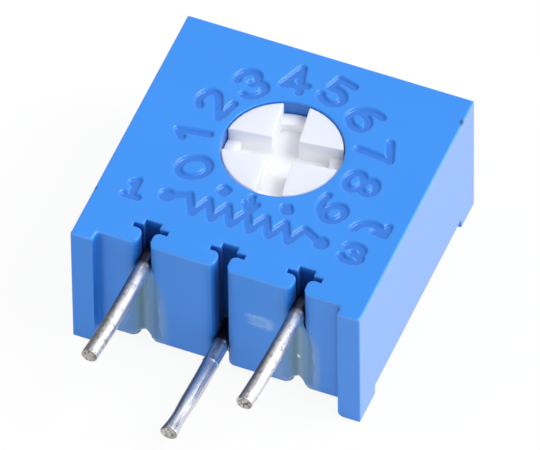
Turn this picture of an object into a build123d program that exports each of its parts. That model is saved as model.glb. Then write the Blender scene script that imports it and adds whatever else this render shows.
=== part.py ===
from build123d import *
import os

# Single-turn cermet trimmer, 3/8 inch square, with three leads out of one side.
# Origin: middle of the whole part seen from above, level with the undersides of its feet.
# +Z is the adjustment side and the leads leave along -Y. All lengths in millimetres.

# Housing, outside
body_width = 9.53
body_depth = 9.53
body_height = 4.83
foot_height = 0.38
foot_width = 0.73
front_foot_length = 1.25
rear_foot_length = 1.10
foot_round = 0.20
panel_recess = 0.38
pillar_width = 0.73
panel_corner_radius = 0.14
upright_edge_radius = 0.14
rim_edge_radius = 0.07

# Housing, inside
top_wall = 0.85
side_wall = 0.82
back_wall = 0.72
front_wall = 0.36
pocket_corner_radius = 0.30
cavity_radius = 3.25
terminal_ledge = 0.14
terminal_room_width = 6.60
terminal_room_height = 0.32

# Rotor
rotor_centre_y = 0.785
head_radius = 1.885
head_clearance = 0.045
head_below_rim = 0.02
head_edge_chamfer = 0.04
flange_radius = 3.02
flange_thickness = 0.50
driver_slot_width = 0.82
driver_slot_depth = 0.50
driver_well_depth = 0.33
driver_well_radius = 1.45
rest_turn = 8.0
stake_radius = 0.42
stake_head_radius = 0.62
stake_head_height = 0.12

# End stops: half angles about the rotor axis, and the gap left at each end
stop_half_angle = 14.0
lug_half_angle = 10.5
stop_gap_angle = 0.5
stop_inner_radius = 2.58
stop_root = 0.10
lug_height = 0.34
stop_clearance = 0.05

# Rotor seal
seal_cord = 0.50
seal_corner = 0.12
seal_clearance = 0.015

# Ceramic element and its printed films
element_thickness = 0.64
element_clearance = 0.03
film_thickness = 0.05
track_radius = 2.20
track_width = 0.72
track_gap_half_angle = 33.0
end_film_angle = 9.0
collector_radius = 1.00
conductor_width = 0.56
pad_radius = 0.40

# Wiper
finger_count = 5
finger_width = 0.20
finger_pitch = 0.27
wiper_thickness = 0.10
wiper_front = 1.05
wiper_rear = 1.60
finger_root = 0.25
finger_straight = 0.10
inner_contact_radius = 0.75
toe_length = 0.20
toe_rise = 0.12
wiper_turn = 0.32
wiper_gap = 0.03
wiper_room = 0.66

# Leads and their solder
lead_radius = 0.255
lead_pitch = 2.54
lead_rise = 2.54
lead_reach = 3.43
lead_below_element = 0.455
lead_bend_radius = 0.30
lead_tip_chamfer = 0.04
lead_inset = 0.60
lead_stand = 0.16
lead_clearance = 0.015
pressed_half_width = 0.185
pressed_half_height = 0.28
pressed_corner = 0.06
pressed_start = 0.42
pressed_beyond_panel = 0.065
solder_foot_radius = 0.38
solder_top_radius = 0.30

# Lead slots, seen from above
slot_head_half = 0.27
slot_head_depth = 0.22
slot_ear_half = 0.58
slot_ear_width = 0.18
slot_neck_half = 0.20
slot_lip_radius = 0.20
slot_mouth_radius = 0.25
slot_depth = 1.005

# Epoxy backfill
epoxy_below_back = 0.12
epoxy_face_depth = 0.39
epoxy_face_radius = 0.25
outer_epoxy_below_lead = 0.32
middle_epoxy_top = 1.15

# Places worked out from the sizes above
half_width = body_width / 2
half_depth = body_depth / 2
panel_y = -half_depth + panel_recess
slot_back_y = panel_y + slot_depth
pocket_front_y = slot_back_y + front_wall
pocket_back_y = half_depth - back_wall
pocket_half_width = half_width - side_wall
ceiling_z = body_height - top_wall
head_top = body_height - head_below_rim
flange_top = ceiling_z - seal_cord - 2 * seal_clearance
flange_bottom = flange_top - flange_thickness
film_top = flange_bottom - wiper_room
element_top = film_top - film_thickness
element_bottom = element_top - element_thickness
wiper_top = flange_bottom
wiper_bottom = wiper_top - wiper_thickness
epoxy_floor = foot_height + epoxy_below_back
low_lead_z = element_bottom - lead_below_element
high_lead_z = low_lead_z + lead_rise
lead_rise_y = slot_back_y - lead_radius - lead_clearance
lead_end_y = pocket_front_y + lead_inset
lead_tip_y = -half_depth - lead_reach
lead_top_z = film_top + lead_stand
pressed_back_y = slot_back_y - pressed_start
pressed_front_y = panel_y - pressed_beyond_panel
origin_shift_y = -(half_depth + lead_tip_y) / 2
lead_places = {"lead_1": -lead_pitch, "lead_2": 0.0, "lead_3": lead_pitch}
rotor_axis = Pos(0, rotor_centre_y, 0)
rest_place = rotor_axis * Rot(0, 0, rest_turn)


def block(x0, x1, y0, y1, z0, z1):
    """A box between two corners."""
    return Pos((x0 + x1) / 2, (y0 + y1) / 2, (z0 + z1) / 2) * Box(x1 - x0, y1 - y0, z1 - z0)


def disc(radius, z0, z1, x=0.0, y=0.0):
    """An upright cylinder between two heights."""
    return Pos(x, y, (z0 + z1) / 2) * Cylinder(radius, z1 - z0)


def plate(outline, z0, z1):
    """A flat outline given its thickness between two heights."""
    return Pos(0, 0, z0) * extrude(outline, z1 - z0)


def ring_sector(inner, outer, middle_angle, half_angle):
    """Outline of part of a ring about the origin."""
    start = middle_angle - half_angle
    outside = CenterArc((0, 0), outer, start, 2 * half_angle)
    inside = CenterArc((0, 0), inner, start, 2 * half_angle)
    return make_face([outside, inside, Line(outside @ 0, inside @ 0), Line(outside @ 1, inside @ 1)])


def slot_outline(x):
    """One lead slot from above: back pocket, two ears, lipped neck and flared mouth."""
    ear_back = slot_back_y - slot_head_depth
    ear_front = ear_back - slot_ear_width
    lip_y = ear_front - slot_lip_radius
    mouth_y = panel_y + slot_mouth_radius
    mouth_half = slot_neck_half + slot_mouth_radius
    outside_y = -half_depth - panel_recess
    with BuildSketch() as outline:
        with BuildLine():
            Polyline(
                (0, slot_back_y),
                (slot_head_half, slot_back_y),
                (slot_head_half, ear_back),
                (slot_ear_half, ear_back),
                (slot_ear_half, ear_front),
                (slot_neck_half + slot_lip_radius, ear_front),
            )
            CenterArc((slot_neck_half + slot_lip_radius, lip_y), slot_lip_radius, 90, 90)
            Line((slot_neck_half, lip_y), (slot_neck_half, mouth_y))
            CenterArc((mouth_half, mouth_y), slot_mouth_radius, 180, 90)
            Polyline((mouth_half, panel_y), (mouth_half, outside_y), (0, outside_y))
            mirror(about=Plane.YZ)
        make_face()
    return Pos(x, 0) * outline.sketch


def body_outline():
    """Square outline with rounded corners, set back between two pillars on the lead side."""
    outline = RectangleRounded(body_width, body_depth, upright_edge_radius)
    recess_width = body_width - 2 * pillar_width
    recess = Pos(0, panel_y - half_depth) * Rectangle(recess_width, body_depth)
    outline = outline - recess
    corners = outline.vertices().group_by(lambda v: abs(v.Y - panel_y))[0]
    return fillet(corners.sort_by(lambda v: abs(v.X))[:2], panel_corner_radius)


def foot(side, front):
    """One corner foot, rounded along the lower edge that faces the other side."""
    length = front_foot_length if front else rear_foot_length
    y_outer = -half_depth if front else half_depth
    y_inner = y_outer + length if front else y_outer - length
    x_inner = side * (half_width - foot_width)
    xs = sorted((x_inner, side * half_width))
    ys = sorted((y_inner, y_outer))
    shape = block(*xs, *ys, 0, foot_height)
    low_edges = shape.edges().filter_by(Axis.Y).group_by(Axis.Z)[0]
    inner_edge = low_edges.sort_by(lambda e: abs(e.center().X))[0]
    return fillet(inner_edge, foot_round)


def pocket(z0, z1):
    """Space for the ceramic element, open at the back of the housing."""
    width = 2 * pocket_half_width
    length = pocket_back_y - pocket_front_y
    middle = (pocket_back_y + pocket_front_y) / 2
    return plate(Pos(0, middle) * RectangleRounded(width, length, pocket_corner_radius), z0, z1)


def lead_channel(x, z0):
    """Passage from the element pocket to one lead slot, below the leads' upper side."""
    top = low_lead_z + lead_radius + lead_clearance
    return block(x - slot_head_half, x + slot_head_half, slot_back_y, pocket_front_y, z0, top)


def terminal_room():
    """Space above the element's pads for the lead ends and their solder."""
    front = pocket_front_y + terminal_ledge
    rear = rotor_centre_y - track_radius
    half = terminal_room_width / 2
    top = element_top + terminal_room_height
    return block(-half, half, front, rear, element_top, top)


def leaves_low(name):
    """True for the middle lead, which stays at the level of the element's back."""
    return lead_places[name] == 0


def lead_path(name):
    """Centre line of one wire: up through the element, along its back, and out of the slot."""
    x = lead_places[name]
    start = [(x, lead_end_y, lead_top_z), (x, lead_end_y, low_lead_z)]
    if leaves_low(name):
        return Polyline(*start, (x, lead_tip_y, low_lead_z))
    half_way = (x, lead_rise_y, (low_lead_z + high_lead_z) / 2)
    knee = (x, lead_rise_y, high_lead_z)
    tip = (x, lead_tip_y, high_lead_z)
    inner = Polyline(*start, (x, lead_rise_y, low_lead_z), half_way)
    return inner + FilletPolyline(half_way, knee, tip, radius=lead_bend_radius)


def lead(name):
    """One round wire, pressed flat where it passes between the lips of its slot."""
    x = lead_places[name]
    z = low_lead_z if leaves_low(name) else high_lead_z
    path = lead_path(name)
    section = Plane((x, lead_end_y, lead_top_z), z_dir=(0, 0, -1)) * Circle(lead_radius)
    wire = sweep(section, path, transition=Transition.RIGHT)
    wire = chamfer(wire.edges().sort_by(Axis.Y)[0], lead_tip_chamfer)
    width, height = pressed_half_width, pressed_half_height
    ends = (pressed_front_y, pressed_back_y)
    wire -= block(x - body_width, x + body_width, *ends, z - height, z + 2 * height)
    pressed = block(x - width, x + width, *ends, z - height, z + height)
    return wire + chamfer(pressed.edges().filter_by(Axis.Y), pressed_corner)


def housing():
    """Moulded case with its lead slots, rotor bore, inner spaces, end stop and feet."""
    outline = body_outline()
    shell = plate(outline, foot_height, body_height)
    shell = fillet(shell.faces().sort_by(Axis.Z)[-1].outer_wire().edges(), rim_edge_radius)
    feet = [foot(side, front) for side in (-1, 1) for front in (True, False)]
    shell = shell + [each & plate(outline, 0, foot_height) for each in feet]
    shell -= disc(head_radius + head_clearance, element_top, 2 * body_height, y=rotor_centre_y)
    shell -= disc(cavity_radius, element_top, ceiling_z, y=rotor_centre_y)
    shell -= pocket(0, element_top)
    shell -= terminal_room()
    for x in lead_places.values():
        shell -= plate(slot_outline(x), 0, 2 * body_height)
        shell -= lead_channel(x, 0)
    stop = ring_sector(stop_inner_radius, cavity_radius + stop_root, -90, stop_half_angle)
    shell += rotor_axis * plate(stop, flange_top + stop_clearance, ceiling_z + stop_root)
    return shell


def adjustment_rotor():
    """Moulded rotor: slotted head, flange with a stop lug, and the stake for the wiper."""
    rotor = disc(head_radius, flange_top, head_top)
    rotor = chamfer(rotor.edges().sort_by(Axis.Z)[-1], head_edge_chamfer)
    rotor += disc(flange_radius, flange_bottom, flange_top)
    lug = ring_sector(stop_inner_radius, flange_radius, 90, lug_half_angle)
    rotor += plate(lug, flange_top, flange_top + lug_height)
    arms = Rectangle(driver_slot_width, 3 * head_radius)
    arms += Rectangle(3 * head_radius, driver_slot_width)
    slot_floor = head_top - driver_slot_depth
    rotor -= plate(arms & Circle(head_radius + head_clearance), slot_floor, 2 * head_top)
    well = arms & Circle(driver_well_radius)
    rotor -= plate(well, slot_floor - driver_well_depth, slot_floor)
    rotor += disc(stake_radius, wiper_bottom, flange_bottom)
    rotor += disc(stake_head_radius, wiper_bottom - stake_head_height, wiper_bottom)
    return rest_place * rotor


def rotor_seal():
    """Sealing ring round the rotor head, between the flange and the top wall."""
    bottom = flange_top + seal_clearance
    inner_radius = head_radius + seal_clearance
    ring = disc(inner_radius + seal_cord, bottom, bottom + seal_cord)
    ring -= disc(inner_radius, bottom, bottom + seal_cord)
    return rest_place * chamfer(ring.edges().filter_by(GeomType.CIRCLE), seal_corner)


def finger(points):
    """One wiper finger: a strip of constant thickness along a bent line, seen from its side."""
    strip = trace(Polyline(*points), wiper_thickness)
    upright = Plane.XZ * strip
    return Pos(0, finger_width / 2, 0) * extrude(upright, finger_width)


def wiper_spring():
    """Stamped contact: five fingers on the track, and the rest bent back to the collector."""
    middle = (wiper_top + wiper_bottom) / 2
    contact = film_top + wiper_gap + wiper_thickness / 2
    outer = [
        (wiper_front - finger_root, middle),
        (wiper_front + finger_straight, middle),
        (track_radius, contact),
        (track_radius + toe_length, contact + toe_rise),
    ]
    rear = -wiper_rear - wiper_turn / 2
    inner = [
        (-wiper_rear + finger_root, middle),
        (-wiper_rear, middle),
        (rear, middle - wiper_turn / 4),
        (rear, middle - 3 * wiper_turn / 4),
        (-wiper_rear, middle - wiper_turn),
        (-inner_contact_radius, contact),
        (-inner_contact_radius + toe_length, contact + toe_rise),
    ]
    width = (finger_count - 1) * finger_pitch + finger_width
    spring = block(-wiper_rear, wiper_front, -width / 2, width / 2, wiper_bottom, wiper_top)
    for number in range(finger_count):
        across = (number - (finger_count - 1) / 2) * finger_pitch
        spring += Pos(0, across, 0) * finger(outer)
        spring += Pos(0, across, 0) * finger(inner)
    spring -= disc(stake_radius, 0, body_height)
    return rest_place * Rot(0, 0, 90) * spring


def ceramic_element():
    """Alumina plate with a hole for each lead."""
    width = 2 * (pocket_half_width - element_clearance)
    length = pocket_back_y - pocket_front_y - 2 * element_clearance
    middle = (pocket_back_y + pocket_front_y) / 2
    outline = Pos(0, middle) * RectangleRounded(width, length, pocket_corner_radius)
    outline -= lead_holes()
    return plate(outline, element_bottom, element_top)


def lead_holes():
    """The three round holes for the lead ends."""
    return [Pos(x, lead_end_y) * Circle(lead_radius + lead_clearance) for x in lead_places.values()]


def track_outline(first_angle):
    """Horseshoe about the rotor axis, from an angle each side of the lead side."""
    half = track_width / 2
    return Pos(0, rotor_centre_y) * ring_sector(
        track_radius - half, track_radius + half, 90, 180 - first_angle
    )


def strip(x0, y0, x1, y1):
    """A straight printed conductor with round ends."""
    return make_face(offset(Line((x0, y0), (x1, y1)), conductor_width / 2, kind=Kind.ARC).edges())


def end_conductor(side):
    """Film from one end of the track to its pad."""
    middle_angle = -90 + side * (track_gap_half_angle - end_film_angle / 2)
    half = track_width / 2
    end_film = Pos(0, rotor_centre_y) * ring_sector(
        track_radius - half, track_radius + half, middle_angle, end_film_angle / 2
    )
    start = end_film.center()
    pad_x = side * lead_pitch
    outline = end_film + strip(start.X, start.Y - conductor_width / 4, pad_x, lead_end_y)
    outline += Pos(pad_x, lead_end_y) * Circle(pad_radius)
    outline = outline - track_outline(track_gap_half_angle) - lead_holes()
    return plate(outline, element_top, film_top)


def centre_conductor():
    """Round collector under the wiper, with a strip to the middle pad."""
    outline = Pos(0, rotor_centre_y) * Circle(collector_radius)
    outline += strip(0, rotor_centre_y, 0, lead_end_y)
    outline += Pos(0, lead_end_y) * Circle(pad_radius)
    return plate(outline - lead_holes(), element_top, film_top)


def solder_joint(x):
    """Cone of solder round one lead end, on its pad."""
    cone = Cone(solder_foot_radius, solder_top_radius, lead_stand)
    seated = Pos(x, lead_end_y, film_top + lead_stand / 2) * cone
    return seated - disc(lead_radius, 0, 2 * lead_top_z, x, lead_end_y)


def epoxy_backfill():
    """Resin that seals the back and runs up the slots behind the leads."""
    fill = pocket(epoxy_floor, element_bottom)
    face_y = panel_y + epoxy_face_depth
    edge_y = face_y - epoxy_face_radius / 2
    outer_top = high_lead_z - outer_epoxy_below_lead
    for name, x in lead_places.items():
        top = middle_epoxy_top if leaves_low(name) else outer_top
        behind = Pos(x, edge_y + half_depth / 2) * Rectangle(2 * slot_ear_half, half_depth)
        outline = slot_outline(x) & behind
        outline -= Pos(x, face_y - epoxy_face_radius) * Circle(epoxy_face_radius)
        fill += plate(outline, epoxy_floor, top)
        fill += lead_channel(x, epoxy_floor)
    for name in lead_places:
        fill -= lead(name)
    return fill


def nodes():
    """Every piece by its name."""
    pieces = {
        "housing": housing(),
        "adjustment_rotor": adjustment_rotor(),
        "rotor_seal": rotor_seal(),
        "wiper_spring": wiper_spring(),
        "ceramic_element": ceramic_element(),
        "resistive_track": plate(track_outline(track_gap_half_angle), element_top, film_top),
        "centre_conductor": centre_conductor(),
        "left_end_conductor": end_conductor(-1),
        "right_end_conductor": end_conductor(1),
        "epoxy_backfill": epoxy_backfill(),
    }
    for name, x in lead_places.items():
        pieces[name] = lead(name)
        pieces[name.replace("lead", "solder_joint")] = solder_joint(x)
    return pieces


os.makedirs("parts", exist_ok=True)
for name, shape in nodes().items():
    export_step(Pos(0, origin_shift_y, 0) * shape, f"parts/{name}.step")

travel = 360 - 2 * (stop_half_angle + lug_half_angle + stop_gap_angle)
print("travel between the stops, degrees:", travel)
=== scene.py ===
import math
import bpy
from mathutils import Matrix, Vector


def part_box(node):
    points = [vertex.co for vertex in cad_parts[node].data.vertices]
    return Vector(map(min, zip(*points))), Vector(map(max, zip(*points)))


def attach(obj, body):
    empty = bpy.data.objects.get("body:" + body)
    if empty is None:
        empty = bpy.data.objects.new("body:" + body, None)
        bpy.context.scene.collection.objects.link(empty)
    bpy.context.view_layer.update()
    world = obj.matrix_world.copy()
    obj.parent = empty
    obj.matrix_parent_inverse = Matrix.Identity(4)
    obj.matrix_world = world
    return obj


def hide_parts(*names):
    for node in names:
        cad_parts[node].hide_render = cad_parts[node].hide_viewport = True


bl_info = {
    "name": "Square trimmer potentiometer looks",
    "version": (1, 0, 0),
    "blender": (4, 5, 0),
    "location": "3D View > Sidebar > Trimmer",
    "description": "Dresses the packed trimmer potentiometer and sets up its stage",
    "category": "Object",
}

from functools import reduce

import bmesh
import bpy
import numpy as np
from bpy.props import FloatProperty, IntProperty, PointerProperty, StringProperty
from mathutils import Matrix, Vector
from mathutils.geometry import delaunay_2d_cdt

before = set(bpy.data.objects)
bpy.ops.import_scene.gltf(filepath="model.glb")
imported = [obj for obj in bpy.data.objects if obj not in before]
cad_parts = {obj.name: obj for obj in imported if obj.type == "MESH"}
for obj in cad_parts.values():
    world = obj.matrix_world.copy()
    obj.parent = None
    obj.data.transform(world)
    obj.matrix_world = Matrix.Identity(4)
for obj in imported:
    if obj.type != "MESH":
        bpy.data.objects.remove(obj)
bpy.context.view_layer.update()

MM = 0.001
WHITE = (1.0, 1.0, 1.0, 1.0)
LEAD_NAMES = ("lead_1", "lead_2", "lead_3")
LEAD_X = np.array((-2.54, 0.0, 2.54))


def box_in_mm(node):
    """Lowest and highest corner of a CAD node, in millimetres."""
    return [np.array(corner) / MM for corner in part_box(node)]


# Places read from the frame, in millimetres
housing_low, housing_high = box_in_mm("housing")
rotor_low, rotor_high = box_in_mm("adjustment_rotor")
plan_centre = (housing_low + housing_high)[:2] / 2
top_z = housing_high[2]
rotor_centre = (rotor_low + rotor_high)[:2] / 2

# Sizes of the case and the leads that the frame's boxes don't give, in millimetres
FOOT_HEIGHT = 0.38
PANEL_RECESS = 0.38
PILLAR_WIDTH = 0.73
SLOT_DEPTH = 1.005
UPRIGHT_RADIUS = 0.14
BORE_CLEAR_RADIUS = 2.02
PRESSED_HALF_WIDTH = 0.185
PRESSED_HALF_HEIGHT = 0.28
panel_y = housing_low[1] + PANEL_RECESS
slot_back_y = panel_y + SLOT_DEPTH

# A point above this height is on the flat top, in metres
flat_top_level = (top_z - 0.001) * MM


def number(name, description, default, **options):
    """A setting that holds one number."""
    return FloatProperty(name=name, description=description, default=default, **options)


class TrimmerSizes(bpy.types.PropertyGroup):
    """Sizes of the details that the looks add, in millimetres."""

    sign_depth: number("Sign depth", "How deep the signs are sunk into the top", 0.10, min=0.0)
    sign_stroke: number("Sign stroke", "Full width of a sign's line", 0.25, min=0.05)
    sign_wall: number("Sign wall", "Width of the sloping wall of a sign", 0.055, min=0.01)
    sign_grid: number("Sign grid", "Distance between the points round a sign", 0.035, min=0.01)
    numeral_height: number("Numeral height", "Height of a dial numeral", 1.05, min=0.1)
    numeral_radius: number("Numeral radius", "Rotor axis to the middle of a numeral", 2.82, min=0.1)
    mould_edge: number("Mould edge", "Rounding of the openings in the top", 0.035, min=0.0)
    rotor_edge: number("Rotor edge", "Rounding of the driver slot's edges", 0.035, min=0.0)
    wire_radius: number("Wire radius", "Radius of a round lead", 0.255, min=0.05)
    wire_bend: number("Wire bend", "Centre line radius of a bend in a lead", 0.30, min=0.05)
    wire_sides: IntProperty(name="Wire sides", description="Points round a lead", default=48, min=8)


class TrimmerFinish(bpy.types.PropertyGroup):
    """Colours of the finishes, as sRGB hex values."""

    case: StringProperty(name="Case", description="Moulded case plastic", default="#278AED")
    rotor: StringProperty(name="Rotor", description="Moulded rotor plastic", default="#E2E6F4")
    resin: StringProperty(name="Resin", description="Cast resin in the slots", default="#568DA8")
    wire: StringProperty(name="Wire", description="Tinned wire", default="#E2E2E4")
    cut_wire: StringProperty(name="Cut wire", description="Sheared end of a lead", default="#CFCBC8")


class TrimmerStage(bpy.types.PropertyGroup):
    """Camera and lights."""

    azimuth: number("Azimuth", "Camera turn from the lead side", math.radians(22.6404), subtype="ANGLE")
    elevation: number("Elevation", "Camera above the horizon", math.radians(49.6273), subtype="ANGLE")
    roll: number("Roll", "Camera turn about its own line of sight", math.radians(-0.7569), subtype="ANGLE")
    distance: number("Distance", "Camera to the part", 0.5, unit="LENGTH")
    lens: number("Lens", "Focal length in millimetres", 1082.53)
    aim_right: number("Aim right", "Picture's middle, right of the case's, in mm", -0.1106)
    aim_up: number("Aim up", "Picture's middle, above the case's, in mm", -0.2221)
    aim_height: number("Aim height", "Height of the case's middle above its feet, in mm", 2.4)
    key: number("Key", "Strength of the key light", 1.78)
    side: number("Side", "Strength of the light from the right", 0.95)
    fill: number("Fill", "Strength of the light from all round", 0.66)


def sizes():
    """The sizes of the current scene."""
    return bpy.context.scene.trimmer_sizes


def colours():
    """The colours of the current scene."""
    return bpy.context.scene.trimmer_finish


def linear(hex_colour):
    """An sRGB hex value as linear red, green, blue and alpha."""
    channels = [int(hex_colour[i : i + 2], 16) / 255 for i in (1, 3, 5)]
    curve = [c / 12.92 if c <= 0.04045 else ((c + 0.055) / 1.055) ** 2.4 for c in channels]
    return (*curve, 1.0)


def darker(colour, share):
    """A colour with its red, green and blue scaled."""
    return [share * c for c in colour[:3]] + [1.0]


def add_node(tree, kind, inputs=None, **settings):
    """Adds a shader node of a kind, sets it, and sets its inputs, or links those given a socket."""
    node = tree.nodes.new("ShaderNode" + kind)
    for name, value in settings.items():
        setattr(node, name, value)
    for name, value in (inputs or {}).items():
        if isinstance(value, bpy.types.NodeSocket):
            tree.links.new(value, node.inputs[name])
        else:
            node.inputs[name].default_value = value
    return node


def empty_material(name):
    """A material with no nodes yet, and its node tree."""
    material = bpy.data.materials.new(name)
    material.use_nodes = True
    material.node_tree.nodes.clear()
    return material, material.node_tree


def new_material(name, constants):
    """A material with one shader, whose constants are set on its own sockets.

    Returns the material, its tree, the shader and the place on the object."""
    material, tree = empty_material(name)
    shader = add_node(tree, "BsdfPrincipled", constants)
    add_node(tree, "OutputMaterial", {"Surface": shader.outputs[0]})
    return material, tree, shader, add_node(tree, "TexCoord").outputs["Object"]


def maths(tree, operation, *values):
    """The result of one step of arithmetic on two or three values."""
    return add_node(tree, "Math", dict(enumerate(values)), operation=operation).outputs[0]


def vector_maths(tree, operation, *values):
    """The node of one step of arithmetic on vectors."""
    return add_node(tree, "VectorMath", dict(enumerate(values)), operation=operation)


def remap(tree, value, low, high, to_low=0.0, to_high=1.0, **settings):
    """A value carried from one range to another and kept inside it."""
    inputs = {"Value": value, "From Min": low, "From Max": high, "To Min": to_low, "To Max": to_high}
    return add_node(tree, "MapRange", inputs, **settings).outputs[0]


def ramp(tree, value, start, end):
    """0 at one length in mm and 1 at another, even between them."""
    return remap(tree, value, start * MM, end * MM)


def noise(tree, place, size, detail=3.0):
    """Noise whose coarsest grains have a size in mm."""
    inputs = {"Vector": place, "Scale": 1 / (size * MM), "Detail": detail}
    return add_node(tree, "TexNoise", inputs).outputs[0]


def add_bump(tree, shader, height, strength, depth):
    """Gives a shader a bump of a depth in mm."""
    inputs = {"Height": height, "Strength": strength, "Distance": depth * MM}
    bump = add_node(tree, "Bump", inputs)
    tree.links.new(bump.outputs[0], shader.inputs["Normal"])


def axes_of(tree, place):
    """The X, Y and Z of a place or a direction."""
    return add_node(tree, "SeparateXYZ", {0: place}).outputs


def spot(tree, place, centre, radii, edge, ragged=0.0, grain=0.3):
    """Mask of a ragged ellipsoid: 1 inside, 0 outside, with a soft edge. All lengths in mm."""
    offset = vector_maths(tree, "SUBTRACT", place, [c * MM for c in centre])
    scaled = vector_maths(tree, "MULTIPLY", offset.outputs[0], [1 / (r * MM) for r in radii])
    length = vector_maths(tree, "LENGTH", scaled.outputs[0])
    wobble = maths(tree, "ADD", noise(tree, place, grain), -0.5)
    distance = maths(tree, "MULTIPLY_ADD", wobble, 2 * ragged, length.outputs["Value"])
    return remap(tree, distance, 1 + edge, 1 - edge, interpolation_type="SMOOTHSTEP")


def blend_colour(tree, factor, first, second):
    """A mix of two colours."""
    inputs = {0: factor, 6: first, 7: second}
    return add_node(tree, "Mix", inputs, data_type="RGBA").outputs[2]


def largest(tree, masks):
    """The largest of several masks."""
    return reduce(lambda a, b: maths(tree, "MAXIMUM", a, b), masks)


def product(tree, masks):
    """The product of several masks, which is where all of them are."""
    return reduce(lambda a, b: maths(tree, "MULTIPLY", a, b), masks)


def layered(tree, colour, layers):
    """A colour with others laid over it in turn, each by its mask, its share and its hex value."""
    for mask, share, added in layers:
        colour = blend_colour(tree, product(tree, [mask, share]), colour, linear(added))
    return colour


def resin_film(tree, place):
    """Mask of the resin smeared thinly on the panel beside the outer slots."""
    patches = (
        ((-3.02, panel_y, 0.80), (0.50, 0.45, 0.75)),
        ((-2.05, panel_y, 1.30), (0.26, 0.45, 1.40)),
        ((2.05, panel_y, 0.80), (0.40, 0.45, 0.70)),
        ((3.03, panel_y, 1.30), (0.26, 0.45, 1.40)),
    )
    return largest(tree, [spot(tree, place, *patch, 0.55, 0.25, 0.7) for patch in patches])


def recess_walls(tree, place):
    """Mask of the walls that less light reaches: in the slots, in the bore and by the pillars."""
    slots = [spot(tree, place, (x, panel_y + 0.80, 2.4), (0.95, 0.78, 12.0), 0.25) for x in LEAD_X]
    bore = spot(tree, place, (*rotor_centre, top_z), (2.15, 2.15, 9.0), 0.05)
    axes = axes_of(tree, place)
    below_rim = ramp(tree, axes["Z"], top_z - 0.03, top_z - 0.30)
    above_feet = ramp(tree, axes["Z"], 0.42, 0.60)
    behind_front = ramp(tree, axes["Y"], housing_low[1] + 0.005, housing_low[1] + 0.03)
    pillar_x = housing_high[0] - PILLAR_WIDTH
    corners = [
        spot(tree, place, (side * pillar_x, panel_y - 0.12, 2.4), (0.19, 0.40, 12.0), 0.6)
        for side in (-1, 1)
    ]
    by_pillars = product(tree, [largest(tree, corners), behind_front, 0.45])
    inside = largest(tree, [*slots, by_pillars, product(tree, [bore, 0.55])])
    return product(tree, [inside, below_rim, above_feet])


def scuff_marks(tree, place):
    """Mask of a pale scuff on the panel: two scraped edges and a faint middle."""
    scraped = [
        spot(tree, place, (1.30, panel_y, 3.00), (0.40, 0.12, 0.10), 0.5, 0.9, 0.12),
        spot(tree, place, (1.62, panel_y, 2.78), (0.12, 0.12, 0.22), 0.5, 0.9, 0.12),
        spot(tree, place, (1.36, panel_y, 2.66), (0.38, 0.12, 0.05), 0.5, 0.9, 0.10),
    ]
    middle = spot(tree, place, (1.34, panel_y, 2.84), (0.42, 0.12, 0.26), 0.3, 0.5, 0.2)
    return largest(tree, [*scraped, product(tree, [middle, 0.6])])


def sign_field(tree, place):
    """Mask of the part of the plan that may hold signs."""
    axes = axes_of(tree, place)
    margin, fade = 0.25, 0.01
    low, high = housing_low + margin, housing_high - margin
    bounds = [
        ramp(tree, axes["X"], low[0], low[0] + fade),
        ramp(tree, axes["X"], high[0], high[0] - fade),
        ramp(tree, axes["Y"], slot_back_y + 0.03, slot_back_y + 0.03 + fade),
        ramp(tree, axes["Y"], high[1], high[1] - fade),
    ]
    return product(tree, bounds)


def height_band(tree, place, low, low_full, high_full, high):
    """Mask of a band of heights in mm, soft at both ends."""
    height = axes_of(tree, place)["Z"]
    return product(tree, [ramp(tree, height, low, low_full), ramp(tree, height, high, high_full)])


def sign_floor(tree, place, field):
    """Mask of the floors of the signs, by their height below the flat top, where painted shade darkens
    them.
    """
    depth = sizes().sign_depth
    heights = (top_z - 2 * depth, top_z - 1.9 * depth, top_z - depth, top_z - 0.3 * depth)
    return product(tree, [field, height_band(tree, place, *heights)])


def painted_rim_highlight(tree, place, field):
    """Mask of the rounded edge round the top, where a paler painted highlight goes."""
    beside = maths(tree, "SUBTRACT", 1.0, field)
    heights = (top_z - 0.10, top_z - 0.06, top_z - 0.02, top_z - 0.004)
    return product(tree, [beside, height_band(tree, place, *heights)])


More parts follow.
